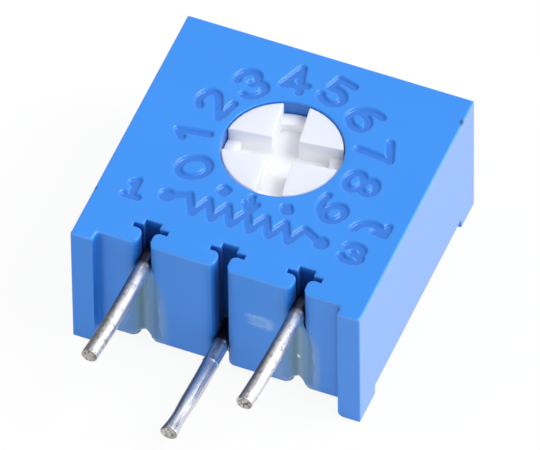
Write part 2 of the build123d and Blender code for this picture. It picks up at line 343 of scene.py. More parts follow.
def case_plastic(name, bloom, gloss):
    """Moulded thermoplastic polyester: even, saturated, satin, with resin smeared at two slots.

    A thin mould bloom gives the steep faces their pale look. A copy with little bloom and gloss is a
    painted shade for walls that light hardly reaches."""
    constants = {
        "IOR": 1.55,
        "Specular IOR Level": gloss,
        "Coat Roughness": 0.08,
        "Sheen Weight": bloom,
        "Sheen Roughness": 0.30,
        "Sheen Tint": linear("#FCF2FF"),
    }
    material, tree, shader, place = new_material(name, constants)
    base = linear(colours().case)
    colour = blend_colour(tree, noise(tree, place, 2.5, 2.0), base, darker(base, 0.94))
    field = sign_field(tree, place)
    hollows = recess_walls(tree, place)
    film = resin_film(tree, place)
    right_edge = (4.72, plan_centre[1] + 3.80, top_z - 0.05)
    left_edge = (-4.74, plan_centre[1] - 2.80, top_z - 0.02)
    specks = [
        spot(tree, place, right_edge, (0.09, 0.11, 0.10), 0.3, 0.4, 0.1),
        spot(tree, place, left_edge, (0.06, 0.08, 0.06), 0.3, 0.4, 0.1),
    ]
    layers = (
        # Painted shade: the floors of the sunk signs made darker.
        (sign_floor(tree, place, field), 0.62, "#1E6ACB"),
        # Painted highlight: the rounded top edge made paler, as if it caught the light.
        (painted_rim_highlight(tree, place, field), 0.55, "#5CA9FF"),
        # Painted shade: the walls in the slots, the bore and by the pillars made dark.
        (hollows, 0.74, "#0A3284"),
        (scuff_marks(tree, place), 0.50, "#9CC8F4"),
        (largest(tree, specks), 0.75, "#1B3560"),
        (film, 0.42, colours().resin),
    )
    tree.links.new(layered(tree, colour, layers), shader.inputs["Base Color"])
    tree.links.new(film, shader.inputs["Coat Weight"])
    dusty = remap(tree, hollows, 0.0, 1.0, 0.30, 0.75)
    tree.links.new(dusty, shader.inputs["Roughness"])
    add_bump(tree, shader, noise(tree, place, 0.12, 4.0), 0.12, 0.006)
    return material


def rotor_plastic():
    """Moulded nylon: white, satin and slightly see-through. Below its top it is painted paler, a painted
    light that keeps its slots light.
    """
    constants = {
        "Roughness": 0.55,
        "IOR": 1.53,
        "Subsurface Weight": 0.6,
        "Subsurface Scale": 0.5 * MM,
        "Subsurface Radius": (1.0, 1.0, 1.0),
    }
    material, tree, shader, place = new_material("moulded_nylon", constants)
    base = linear(colours().rotor)
    colour = blend_colour(tree, noise(tree, place, 1.2), base, darker(base, 0.95))
    # Painted light: the rotor made paler below its top face, so its slots stay light.
    below = ramp(tree, axes_of(tree, place)["Z"], rotor_high[2] - 0.05, rotor_high[2] - 0.45)
    colour = blend_colour(tree, below, colour, linear("#F3F4F7"))
    tree.links.new(colour, shader.inputs["Base Color"])
    add_bump(tree, shader, noise(tree, place, 0.15), 0.15, 0.006)
    return material


def cast_resin():
    """Cast epoxy: smooth and glossy where it set against air, cloudy blue-green below."""
    constants = {"Roughness": 0.16, "IOR": 1.55, "Coat Weight": 0.5, "Coat Roughness": 0.05}
    material, tree, shader, place = new_material("cast_epoxy", constants)
    base = linear(colours().resin)
    cloud = noise(tree, place, 0.8)
    colour = blend_colour(tree, cloud, base, darker(base, 0.72))
    tree.links.new(colour, shader.inputs["Base Color"])
    add_bump(tree, shader, cloud, 0.35, 0.10)
    return material


def thin_resin():
    """The same epoxy as a skin run out over the panel: glossy, with the blue showing through and a painted
    glint.
    """
    constants = {"Roughness": 0.20, "IOR": 1.55, "Coat Weight": 0.6, "Coat Roughness": 0.05}
    material, tree, shader, place = new_material("thin_epoxy_skin", constants)
    middles = [
        spot(tree, place, (x, panel_y, 1.9), (0.30, 0.60, 1.9), 0.7, 0.35, 0.4)
        for x in (-2.54, 2.58)
    ]
    colour = blend_colour(tree, largest(tree, middles), linear("#4082CA"), linear("#427FA2"))
    streaks = [
        spot(tree, place, (x, panel_y, 1.9), (0.07, 0.60, 1.7), 0.8, 0.30, 0.5)
        for x in (-2.62, -2.12, 2.46, 2.98)
    ]
    # Painted glint: a small white spot on the skin by lead 3.
    painted_glint = spot(tree, place, (2.58, panel_y, 1.72), (0.05, 0.30, 0.07), 0.3, 0.6, 0.08)
    layers = ((largest(tree, streaks), 0.6, "#2F6577"), (painted_glint, 0.8, "#E8F4F4"))
    tree.links.new(layered(tree, colour, layers), shader.inputs["Base Color"])
    add_bump(tree, shader, noise(tree, place, 0.5), 0.4, 0.05)
    return material


def tinned_wire(name, smoothest, roughest, pit_level):
    """Hot tinned copper wire: bright, drawn along its length, with dull streaks and pits.

    Its left side is darker and it is dark inside its slot: both are painted shade."""
    material, tree, shader, place = new_material(name, {"Metallic": 1.0})
    streak_size = (0.07, 1.1, 0.07)
    drawn = vector_maths(tree, "MULTIPLY", place, [1 / length for length in streak_size])
    streak = noise(tree, drawn.outputs[0], 1.0, 4.0)
    pit = noise(tree, place, 0.16, 4.0)
    base = linear(colours().wire)
    streaked = remap(tree, streak, 0.50, 0.72)
    pitted = remap(tree, pit, pit_level, pit_level + 0.12)
    colour = blend_colour(tree, largest(tree, [streaked, pitted]), base, darker(base, 0.52))
    # Painted shade: the left side of each lead made darker.
    painted_shade_left = [
        spot(tree, place, (x - 0.33, panel_y - 1.6, z), (0.25, 3.2, 0.9), 0.45, 0.25, 0.25)
        for x, z in ((-2.54, 3.7), (-0.05, 1.15), (2.54, 3.7))
    ]
    # Painted shade: the wire made dark navy where it goes into its slot.
    in_slot = ramp(tree, axes_of(tree, place)["Y"], panel_y - 0.12, panel_y + 0.10)
    layers = ((largest(tree, painted_shade_left), 0.8, "#5C595B"), (in_slot, 0.92, "#1A2138"))
    tree.links.new(layered(tree, colour, layers), shader.inputs["Base Color"])
    rough = remap(tree, pit, 0.3, 0.7, smoothest, roughest)
    tree.links.new(rough, shader.inputs["Roughness"])
    add_bump(tree, shader, maths(tree, "ADD", streak, pit), 0.4, 0.010)
    return material


def sheared_copper():
    """Sheared wire end: torn copper with tin dragged over it, dull and uneven."""
    constants = {"Metallic": 1.0, "Roughness": 0.5}
    material, tree, shader, place = new_material("sheared_copper", constants)
    torn = noise(tree, place, 0.14, 4.0)
    share = remap(tree, torn, 0.50, 0.66)
    colour = blend_colour(tree, share, linear(colours().cut_wire), linear("#4A4039"))
    tree.links.new(colour, shader.inputs["Base Color"])
    add_bump(tree, shader, torn, 0.8, 0.03)
    return material


def plain_finish(name, light, dark, grain, depth, roughness, metallic):
    """A finish of two close colours in grains of a real size in mm, with a bump of that depth."""
    constants = {"Roughness": roughness, "Metallic": metallic}
    material, tree, shader, place = new_material(name, constants)
    grains = noise(tree, place, grain)
    colour = blend_colour(tree, grains, linear(light), linear(dark))
    tree.links.new(colour, shader.inputs["Base Color"])
    add_bump(tree, shader, grains, 0.4, depth)
    return material


def welded(node):
    """A CAD node's mesh with its loose triangles joined and its flat faces made whole."""
    mesh = bmesh.new()
    mesh.from_mesh(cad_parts[node].data)
    bmesh.ops.remove_doubles(mesh, verts=mesh.verts, dist=0.0002 * MM)
    bmesh.ops.dissolve_limit(
        mesh,
        angle_limit=math.radians(0.3),
        verts=mesh.verts[:],
        edges=mesh.edges[:],
        delimit={"NORMAL"},
    )
    return mesh


def add_object(name, data):
    """Makes an object of some data and puts it in the scene."""
    made = bpy.data.objects.new(name, data)
    bpy.context.scene.collection.objects.link(made)
    return made


def add_piece(data, materials, body):
    """Makes an object of a mesh, with the mesh's name, which moves with a body."""
    piece = add_object(data.name, data)
    for material in materials:
        data.materials.append(material)
    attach(piece, body)
    return piece


def piece_from(mesh, name, materials, node, body):
    """Makes an object of a bmesh, which stands for a CAD node and moves with its body."""
    data = bpy.data.meshes.new(name)
    mesh.to_mesh(data)
    mesh.free()
    piece = add_piece(data, materials, body)
    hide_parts(node)
    return piece


def shade(mesh, limit_degrees, soft_faces=()):
    """Smooth faces with sharp edges past an angle, apart from edges inside the soft faces."""
    soft = set(soft_faces)
    limit = math.radians(limit_degrees)
    for face in mesh.faces:
        face.smooth = True
    for edge in mesh.edges:
        inside = all(face in soft for face in edge.link_faces)
        edge.smooth = inside or edge.calc_face_angle(0.0) < limit


def keep_flat_faces_flat(piece):
    """Large flat faces keep their own normal next to small roundings."""
    modifier = piece.modifiers.new("flat faces", "WEIGHTED_NORMAL")
    modifier.keep_sharp = True
    modifier.weight = 100


def arc(centre, radii, start, end, count=24):
    """Points on an arc of an ellipse, from one angle to another in degrees."""
    angles = np.radians(np.linspace(start, end, count))
    x = centre[0] + radii[0] * np.cos(angles)
    y = centre[1] + radii[1] * np.sin(angles)
    return np.column_stack((x, y))


def unit_at(degrees):
    """Unit vector in plan, at an angle."""
    return np.array((math.cos(math.radians(degrees)), math.sin(math.radians(degrees))))


def smooth_step(value):
    """Keeps a value between 0 and 1 and eases it at both ends."""
    share = np.clip(value, 0, 1)
    return share * share * (3 - 2 * share)


def bell(value, middle, width):
    """A bell curve, 1 at its middle."""
    return np.exp(-(((value - middle) / width) ** 2))


def numeral_strokes():
    """Lines of the numerals 0 to 9 in a box one high and 0.62 wide, each a list of strokes."""
    round_top = arc((0.31, 0.73), (0.25, 0.24), 165, -90)
    round_foot = arc((0.31, 0.26), (0.28, 0.25), 90, -165)
    swan = np.vstack((arc((0.31, 0.70), (0.26, 0.27), 165, -30), [(0.06, 0.03), (0.58, 0.03)]))
    bowl = arc((0.30, 0.31), (0.27, 0.29), 120, -155)
    five = np.vstack(([(0.54, 0.97), (0.14, 0.97), (0.11, 0.56)], bowl))
    six = [arc((0.31, 0.29), (0.27, 0.27), 0, 360), arc((0.62, 0.35), (0.58, 0.62), 180, 105)]
    nine = [np.array((0.62, 1.0)) - stroke for stroke in six]
    return [
        [arc((0.31, 0.5), (0.27, 0.47), 0, 360, 40)],
        [np.array([(0.16, 0.80), (0.36, 0.97), (0.36, 0.03)])],
        [swan],
        [round_top, round_foot],
        [np.array([(0.44, 0.03), (0.44, 0.97), (0.04, 0.30), (0.60, 0.30)])],
        [five],
        six,
        [np.array([(0.05, 0.97), (0.58, 0.97), (0.24, 0.03)])],
        [arc((0.31, 0.74), (0.21, 0.22), 0, 360), arc((0.31, 0.27), (0.26, 0.25), 0, 360)],
        nine,
    ]


def placed(strokes, width, height, middle, turn):
    """Strokes scaled from their own box, centred on a point and turned by degrees."""
    angle = math.radians(turn)
    rotation = np.array([[math.cos(angle), math.sin(angle)], [-math.sin(angle), math.cos(angle)]])
    box_middle = np.array((0.31, 0.5))
    return [(stroke - box_middle) * (width, height) @ rotation + middle for stroke in strokes]


def dial_numerals():
    """The numerals 0 to 9 in an arc round the rotor, tops outward, clockwise."""
    first_angle, last_angle = 217.0, -37.0
    height = sizes().numeral_height
    strokes = []
    angles = np.linspace(first_angle, last_angle, 10)
    for numeral, angle in zip(numeral_strokes(), angles):
        middle = rotor_centre + sizes().numeral_radius * unit_at(angle)
        strokes += placed(numeral, 1.30 * height, height, middle, angle - 90)
    return strokes


def terminal_numerals():
    """Upright numerals 1 and 3 beside the outer leads."""
    numerals = numeral_strokes()
    height, narrow, wide = 0.68, 0.72, 1.10
    foot = [np.array([(0.06, 0.03), (0.66, 0.03)])]
    left = plan_centre + np.array((-3.66, -2.36))
    right = plan_centre + np.array((3.56, -2.32))
    one = placed(numerals[1] + foot, narrow, height, left, 0)
    return one + placed(numerals[3], wide, height, right, 0)


def resistor_sign():
    """Zigzag between two end dots."""
    left, right, y = -2.60, 2.50, -2.30
    x = np.concatenate(([left], np.linspace(-1.95, 1.85, 13), [right]))
    swing = 0.33 * np.cos(np.arange(13) * math.pi)
    heights = np.concatenate(([0.05], swing, [0.0]))
    return [np.column_stack((x, y + heights)) + plan_centre]


def dots():
    """Round ends of the resistor sign, as short thick strokes."""
    ends = ((-2.60, -2.25), (2.50, -2.30))
    return [np.array([end, (end[0] + 0.01, end[1])]) + plan_centre for end in ends]


def wiper_arrow():
    """Arrow from the rotor down to the resistor sign: its shaft and its head."""
    shaft = [(-0.12, -1.36), (-0.02, -1.90)]
    head = [(-0.24, -1.66), (-0.02, -1.96), (0.12, -1.62)]
    return [np.array(stroke) + plan_centre for stroke in (shaft, head)]


def index_marks():
    """Two small squares beside the rotor, drawn as three bars each."""
    near, far = 2.36, 2.54
    marks = []
    for angle in (-115.0, -65.0):
        outward = unit_at(angle)
        across = np.array((-outward[1], outward[0]))
        for shift in (-0.07, 0.0, 0.07):
            side = rotor_centre + shift * across
            marks.append(np.array([side + near * outward, side + far * outward]))
    return marks


def turn_arrow():
    """Bent arrow that shows which way the rotor is turned."""
    bow = arc((3.72, -1.62), (0.55, 0.60), 155, 30) + plan_centre
    tip = bow[-1]
    head = np.array([tip + (-0.34, 0.04), tip, tip + (0.02, 0.36)])
    return [bow, head]


def signs():
    """All signs on the top, as pairs of a stroke and half its width, in mm."""
    half = sizes().sign_stroke / 2
    groups = (
        (dial_numerals(), half),
        (terminal_numerals(), half),
        (resistor_sign(), half),
        (dots(), 2.0 * half),
        (wiper_arrow(), 0.9 * half),
        (index_marks(), half),
        (turn_arrow(), half),
    )
    return [(stroke, width) for strokes, width in groups for stroke in strokes]


def distance_to(stroke, points):
    """Least distance from each point to any straight part of a stroke."""
    start = stroke[:-1][None]
    run = (stroke[1:] - stroke[:-1])[None]
    offset = points[:, None] - start
    share = np.clip((offset * run).sum(2) / np.maximum((run * run).sum(2), 1e-12), 0, 1)
    return np.linalg.norm(offset - share[..., None] * run, axis=2).min(1)


def beside_strokes(points, reach):
    """For each point, how far it is inside the nearest sign's edge, counted up to a reach."""
    inside = np.full(len(points), -reach)
    for stroke, half in signs():
        low = stroke.min(0) - half - reach
        high = stroke.max(0) + half + reach
        near = np.flatnonzero(((points > low) & (points < high)).all(1))
        if len(near):
            inside[near] = np.maximum(inside[near], half - distance_to(stroke, points[near]))
    return inside


def sunk(points):
    """Depth of the signs at each point: a smooth step across the wall at a stroke's edge."""
    wall = sizes().sign_wall
    return sizes().sign_depth * smooth_step(beside_strokes(points, wall) / wall + 0.5)


def sign_points():
    """Grid points on and just round the signs."""
    step = sizes().sign_grid
    low = housing_low[:2] + 0.3
    high = housing_high[:2] - 0.3
    across = np.arange(low[0], high[0], step)
    along = np.arange(low[1], high[1], step * math.sqrt(3) / 2)
    x, y = np.meshgrid(across, along)
    x[::2] += step / 2
    points = np.column_stack((x.ravel(), y.ravel()))
    reach = sizes().sign_wall / 2 + 1.6 * step
    points = points[beside_strokes(points, reach) > -reach]
    clear_of_bore = np.linalg.norm(points - rotor_centre, axis=1) > BORE_CLEAR_RADIUS
    return points[clear_of_bore & (points[:, 1] > slot_back_y + 0.1)]


def inside_outline(points, edges):
    """Even number test: which points lie inside a set of closed outlines."""
    crossings = np.zeros(len(points), int)
    for start, end in edges:
        if start[1] == end[1]:
            continue
        spans = (points[:, 1] >= min(start[1], end[1])) & (points[:, 1] < max(start[1], end[1]))
        share = (points[:, 1] - start[1]) / (end[1] - start[1])
        crossings += spans & (start[0] + share * (end[0] - start[0]) > points[:, 0])
    return crossings % 2 == 1


def bevel(mesh, edges, offset):
    """Rounds edges by an offset in mm."""
    bmesh.ops.bevel(
        mesh,
        geom=edges,
        offset=offset * MM,
        offset_type="OFFSET",
        segments=3,
        profile=0.5,
        affect="EDGES",
        clamp_overlap=False,
    )


def round_openings(mesh):
    """Rounds the upper edges of the bore and the lead slots."""
    chosen = []
    for edge in mesh.edges:
        if len(edge.link_faces) != 2 or min(v.co.z for v in edge.verts) < flat_top_level:
            continue
        slopes = sorted(abs(face.normal.z) for face in edge.link_faces)
        if slopes[0] < 0.1 and slopes[1] > 0.99:
            chosen.append(edge)
    bevel(mesh, chosen, sizes().mould_edge)


def sink_signs(mesh):
    """Makes the flat top again with the signs pressed into it. Returns the new faces."""
    level_faces = [face for face in mesh.faces if face.normal.z > 0.999]
    old = [face for face in level_faces if all(v.co.z > flat_top_level for v in face.verts)]
    inner = {v for f in old for v in f.verts}
    bmesh.ops.delete(mesh, geom=old, context="FACES")
    rim_edges = [e for e in mesh.edges if e.is_boundary and all(v in inner for v in e.verts)]
    rim = list(dict.fromkeys(v for e in rim_edges for v in e.verts))
    place_of = {v: i for i, v in enumerate(rim)}
    outline = np.array([(v.co.x / MM, v.co.y / MM) for v in rim])
    pairs = np.array([[place_of[v] for v in e.verts] for e in rim_edges])
    points = np.vstack((outline, sign_points()))
    found, _, triangles, *_ = delaunay_2d_cdt(
        [Vector(p) for p in points.tolist()], pairs.tolist(), [], 0, 1e-7
    )
    found = np.array(found)
    triangles = np.array(triangles)
    middles = found[triangles].mean(1)
    triangles = triangles[inside_outline(middles, outline[pairs])]
    top = bpy.data.meshes.new("signed_top")
    verts = np.column_stack((found, top_z - sunk(found))) * MM
    top.from_pydata(verts.tolist(), [], triangles.tolist())
    kept_faces = set(mesh.faces)
    kept_verts = set(mesh.verts)
    mesh.from_mesh(top)
    bpy.data.meshes.remove(top)
    seam = rim + [vert for vert in mesh.verts if vert not in kept_verts]
    bmesh.ops.remove_doubles(mesh, verts=seam, dist=0.0005 * MM)
    bmesh.ops.recalc_face_normals(mesh, faces=mesh.faces[:])
    return [face for face in mesh.faces if face not in kept_faces]


def square_uprights(data):
    """Sharpens the four upright corners of the case.

    A point of a corner's rounding at (a, b) from its centre is pushed out until the eighth
    powers of a and b sum to the eighth power of the radius, which leaves a small rounding."""
    places = np.empty(3 * len(data.vertices), np.float32)
    data.vertices.foreach_get("co", places)
    places = places.reshape(-1, 3)
    half = (housing_high - housing_low)[:2] / 2
    from_middle = places[:, :2] / MM - plan_centre
    offset = np.abs(from_middle) - (half - UPRIGHT_RADIUS)
    length = np.linalg.norm(offset, axis=1)
    rounded = (offset > 1e-4).all(1) & (np.abs(length - UPRIGHT_RADIUS) < 0.01)
    squared = (np.abs(offset[rounded]) ** 8).sum(1) ** (1 / 8)
    moved = offset[rounded] * (UPRIGHT_RADIUS / squared)[:, None] + half - UPRIGHT_RADIUS
    places[rounded, :2] = (np.sign(from_middle[rounded]) * moved + plan_centre) * MM
    data.vertices.foreach_set("co", places.ravel())


def mark_hollow_walls(data):
    """Gives the walls inside the lead slots and beside the pillars the piece's second finish, the copy
    with little sheen that is a painted shade.
    """
    middles = np.empty(3 * len(data.polygons), np.float32)
    normals = np.empty_like(middles)
    data.polygons.foreach_get("center", middles)
    data.polygons.foreach_get("normal", normals)
    middles = middles.reshape(-1, 3) / MM
    normals = np.abs(normals.reshape(-1, 3))
    y = middles[:, 1]
    in_slot = (np.abs(middles[:, :1] - LEAD_X).min(1) < 0.8) & (y > panel_y + 0.05)
    by_pillar = np.abs(np.abs(middles[:, 0]) - housing_high[0] + PILLAR_WIDTH) < 0.2
    by_pillar &= (normals[:, 0] > 0.2) & (y < slot_back_y)
    marked = (normals[:, 2] < 0.3) & (in_slot & (y < slot_back_y + 0.05) | by_pillar)
    marked &= middles[:, 2] > housing_low[2] + 0.3
    data.polygons.foreach_set("material_index", marked.astype(np.int32))


def path_through(corners, bend, step):
    """Points at even steps along straight runs joined by arcs at right-angled corners."""
    runs = [corners[0]]
    for before, corner, after in zip(corners[:-2], corners[1:-1], corners[2:]):
        back = (before - corner) / np.linalg.norm(before - corner)
        on = (after - corner) / np.linalg.norm(after - corner)
        turn = np.linspace(0, math.pi / 2, 13)[:, None]
        centre = corner + bend * (back + on)
        runs.append(centre - bend * (on * np.cos(turn) + back * np.sin(turn)))
    runs.append(corners[-1])
    line = np.vstack(runs)
    along = np.concatenate(([0], np.cumsum(np.linalg.norm(np.diff(line, axis=0), axis=1))))
    even = np.linspace(0, along[-1], int(along[-1] / step) + 2)
    return np.column_stack([np.interp(even, along, line[:, axis]) for axis in (0, 1)])


def lead_corners(name):
    """Corners of a lead's centre line as y and z, from the end in the element to the tip."""
    low, high = box_in_mm(name)
    joint_low, joint_high = box_in_mm(name.replace("lead", "solder_joint"))
    end_y = (joint_low[1] + joint_high[1]) / 2
    end_z = joint_high[2]
    if name == "lead_2":
        out_z = low[2] + PRESSED_HALF_HEIGHT
        return np.array([(end_y, end_z), (end_y, out_z), (low[1], out_z)])
    along_z = low[2] + sizes().wire_radius
    out_z = high[2] - PRESSED_HALF_HEIGHT
    gap = 0.015
    rise_y = slot_back_y - sizes().wire_radius - gap
    return np.array(
        [(end_y, end_z), (end_y, along_z), (rise_y, along_z), (rise_y, out_z), (low[1], out_z)]
    )


def lead_surface(name, lean, flare, flare_length, ridge=0.0, neck=0.0):
    """Lead as a grid: rings of a superellipse carried along its centre line.

    A ring's point is centre + a * across + b * normal, where a and b go round a circle in the
    free wire, and round a squarer, narrower outline where the lips of the slot press it.
    The free wire leans to one side. Its tip flares by a bell curve, with a neck behind it, and a
    ridge stands up where the wire was pressed last."""
    low, high = box_in_mm(name)
    x = (low[0] + high[0]) / 2
    radius = sizes().wire_radius
    path = path_through(lead_corners(name), sizes().wire_bend, 0.03)
    tangent = np.gradient(path, axis=0)
    tangent /= np.linalg.norm(tangent, axis=1)[:, None]
    normal = np.column_stack((-tangent[:, 1], tangent[:, 0]))
    tip_y = path[-1, 0]
    outgoing = np.abs(path[:, 1] - path[-1, 1]) < 1e-3 if name == "lead_2" else (
        path[:, 1] > path[-1, 1] - 0.12
    )
    y = path[:, 0]
    front_y, front_length = panel_y - 0.05, 0.32
    back_y, back_length = slot_back_y - 0.42, 0.03
    near_back = np.clip((back_y - y) / back_length, 0, 1)
    pressed = outgoing * smooth_step((y - front_y) / front_length) * near_back
    ridge_y, ridge_length = panel_y - 0.76, 0.04
    neck_y, neck_length = tip_y + 0.70, 0.45
    burr = flare * bell(y, tip_y, flare_length) + ridge * bell(y, ridge_y, ridge_length)
    burr = (burr - neck * bell(y, neck_y, neck_length)) * outgoing
    inset = 0.005
    half_across = radius + pressed * (PRESSED_HALF_WIDTH - radius) + burr
    half_up = radius + pressed * (PRESSED_HALF_HEIGHT - inset - radius) + 0.35 * burr
    power = 2.0 + 4.0 * pressed
    angle = np.linspace(0, 2 * math.pi, sizes().wire_sides, endpoint=False)
    cos, sin = np.cos(angle)[None], np.sin(angle)[None]
    exponent = (2 / power)[:, None]
    across = half_across[:, None] * np.sign(cos) * np.abs(cos) ** exponent
    up = half_up[:, None] * np.sign(sin) * np.abs(sin) ** exponent
    free = np.clip((panel_y - y) / (panel_y - tip_y), 0, 1)
    shift = lean * free * free * outgoing
    grid = np.empty((len(path), len(angle), 3))
    grid[..., 0] = x + shift[:, None] + across
    grid[..., 1] = path[:, :1] + up * normal[:, :1]
    grid[..., 2] = path[:, 1:] + up * normal[:, 1:]
    return grid


def tube_mesh(name, grid, cap_rings):
    """Mesh of a tube grid, closed at both ends by rings that shrink to a point.

    Each cap ring is the end ring scaled about its middle and moved along the tube."""
    rings = [grid]
    for end, inward in ((-1, grid[-2] - grid[-1]), (0, grid[1] - grid[0])):
        middle = grid[end].mean(0)
        along = inward.mean(0) / np.linalg.norm(inward.mean(0))
        caps = [middle + scale * (grid[end] - middle) + depth * along for scale, depth in cap_rings]
        if end == -1:
            rings.append(np.array(caps))
        else:
            rings.insert(0, np.array(caps[::-1]))
    points = np.concatenate(rings)
    ring_count, sides = points.shape[:2]
    index = np.arange(ring_count * sides).reshape(ring_count, sides)
    after = np.roll(index, -1, axis=1)
    quads = np.stack((index[:-1], after[:-1], after[1:], index[1:]), axis=-1).reshape(-1, 4)
    centres = np.array([points[0].mean(0), points[-1].mean(0)])
    first, last = ring_count * sides, ring_count * sides + 1
    starts = np.column_stack((np.full(sides, first), after[0], index[0]))
    ends = np.column_stack((np.full(sides, last), index[-1], after[-1]))
    verts = np.concatenate((points.reshape(-1, 3), centres)) * MM
    data = bpy.data.meshes.new(name)
    data.from_pydata(verts.tolist(), [], quads.tolist() + starts.tolist() + ends.tolist())
    cap_count = len(cap_rings)
    is_cap = np.zeros(len(data.polygons), np.int32)
    is_cap[: cap_count * sides] = 1
    is_cap[(ring_count - 1 - cap_count) * sides :] = 1
    data.polygons.foreach_set("material_index", is_cap)
    mesh = bmesh.new()
    mesh.from_mesh(data)
    bmesh.ops.recalc_face_normals(mesh, faces=mesh.faces[:])
    shade(mesh, 50)
    mesh.to_mesh(data)
    mesh.free()
    return data


def resin_skin(name, lead, climb):
    """Skin of resin that ran out of a slot below its lead, as a grid on the panel.

    Across the slot it is a shallow groove between two low swells, and its rim dips under the
    panel. It narrows towards the lead, climbs past the lead's foot by a length in mm, and an
    arch opens its lower edge."""
    lead_low, lead_high = box_in_mm(lead)
    x = (lead_low[0] + lead_high[0]) / 2
    top = lead_high[2] - 2 * PRESSED_HALF_HEIGHT + climb
    low = housing_low[2] + FOOT_HEIGHT + 0.04
    rows, columns = 60, 49
    up, across = np.meshgrid(np.linspace(0, 1, rows), np.linspace(-1, 1, columns), indexing="ij")
    narrowest, widest = 0.17 + 0.5 * climb, 0.60
    half_width = narrowest + (widest - narrowest) * smooth_step((1 - up) / 0.30)
    waviness = 1 + 0.07 * np.sin(9 * up + 2 * x) + 0.04 * np.sin(23 * up)
    offset = across * half_width * waviness
    arch_height, arch_half_width = 0.26, 0.27
    arch = arch_height * np.sqrt(np.clip(1 - (offset / arch_half_width) ** 2, 0, 1))
    height = low + arch + up * (top - low - arch)
    proud, groove_depth, rim_drop, tuck_depth = 0.03, 0.09, 0.06, 0.25
    rim = np.maximum(np.abs(across) ** 6, np.clip((0.04 - up) / 0.04, 0, 1))
    groove = groove_depth * bell(offset, 0.0, 0.15)
    tuck = tuck_depth * np.clip((up - 0.93) / 0.07, 0, 1) ** 2
    thickness = proud - groove - rim_drop * rim - tuck
    places = np.stack((x + offset, panel_y - thickness, height), axis=-1).reshape(-1, 3) * MM
    index = np.arange(rows * columns).reshape(rows, columns)
    quads = np.stack((index[:-1, :-1], index[:-1, 1:], index[1:, 1:], index[1:, :-1]), axis=-1)
    data = bpy.data.meshes.new(name)
    data.from_pydata(places.tolist(), [], quads.reshape(-1, 4).tolist())
    data.polygons.foreach_set("use_smooth", np.ones(len(data.polygons), bool))
    return data


class TRIMMER_OT_case(bpy.types.Operator):
    """Make the case with its sunk signs and rounded openings"""

    bl_idname = "trimmer.case"
    bl_label = "Case"

    def execute(self, context):
        mesh = welded("housing")
        round_openings(mesh)
        top_faces = sink_signs(mesh)
        shade(mesh, 50, top_faces)
        finishes = [
            case_plastic("moulded_polyester", 0.95, 0.5),
            # Painted shade: a copy of the case plastic with little sheen and gloss, for the slot and
            # pillar walls.
            case_plastic("polyester_painted_shade", 0.10, 0.15),
        ]
        piece = piece_from(mesh, "case_moulding", finishes, "housing", "case")
        mark_hollow_walls(piece.data)
        square_uprights(piece.data)
        keep_flat_faces_flat(piece)
        return {"FINISHED"}


class TRIMMER_OT_rotor(bpy.types.Operator):
    """Make the slotted rotor with softened edges"""

    bl_idname = "trimmer.rotor"
    bl_label = "Rotor"

    def execute(self, context):
        mesh = welded("adjustment_rotor")
        below_slots = (rotor_high[2] - 0.9) * MM
        chosen = [
            edge
            for edge in mesh.edges
            if edge.calc_face_angle(0.0) > math.radians(60)
            and min(v.co.z for v in edge.verts) > below_slots
        ]
        bevel(mesh, chosen, sizes().rotor_edge)
        shade(mesh, 48)
        piece = piece_from(
            mesh, "rotor_moulding", [rotor_plastic()], "adjustment_rotor", "rotor"
        )
        keep_flat_faces_flat(piece)
        return {"FINISHED"}


class TRIMMER_OT_leads(bpy.types.Operator):
    """Make the three tinned leads with their sheared ends"""

    bl_idname = "trimmer.leads"
    bl_label = "Leads"

    def execute(self, context):
        cut = sheared_copper()
        pitted = tinned_wire("tinned_copper_wire", 0.34, 0.52, 0.53)
        smooth = tinned_wire("smooth_tinned_wire", 0.30, 0.38, 0.64)
        cap_rings = ((0.90, 0.0), (0.80, 0.035), (0.6, 0.055), (0.25, 0.06))
        grids = {
            "lead_1": lead_surface("lead_1", -0.19, 0.004, 0.10),
            "lead_2": lead_surface("lead_2", -0.15, 0.028, 0.20, ridge=0.022, neck=0.035),
            "lead_3": lead_surface("lead_3", -0.17, 0.006, 0.10),
        }
        for name, grid in grids.items():
            data = tube_mesh("wire_" + name, grid, cap_rings)
            finishes = [smooth if name == "lead_2" else pitted, cut]
            piece = add_piece(data, finishes, "case")
            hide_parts(name)
        return {"FINISHED"}


class TRIMMER_OT_resin(bpy.types.Operator):
    """Give the resin its finish"""

    bl_idname = "trimmer.resin"
    bl_label = "Resin"

    def execute(self, context):
        mesh = welded("epoxy_backfill")
        shade(mesh, 30)
        piece = piece_from(mesh, "cast_backfill", [cast_resin()], "epoxy_backfill", "case")
        keep_flat_faces_flat(piece)
        skin_finish = thin_resin()
        for name, climb in (("lead_1", 0.35), ("lead_3", 0.0)):
            data = resin_skin("skin_beside_" + name, name, climb)
            add_piece(data, [skin_finish], "case")
        return {"FINISHED"}


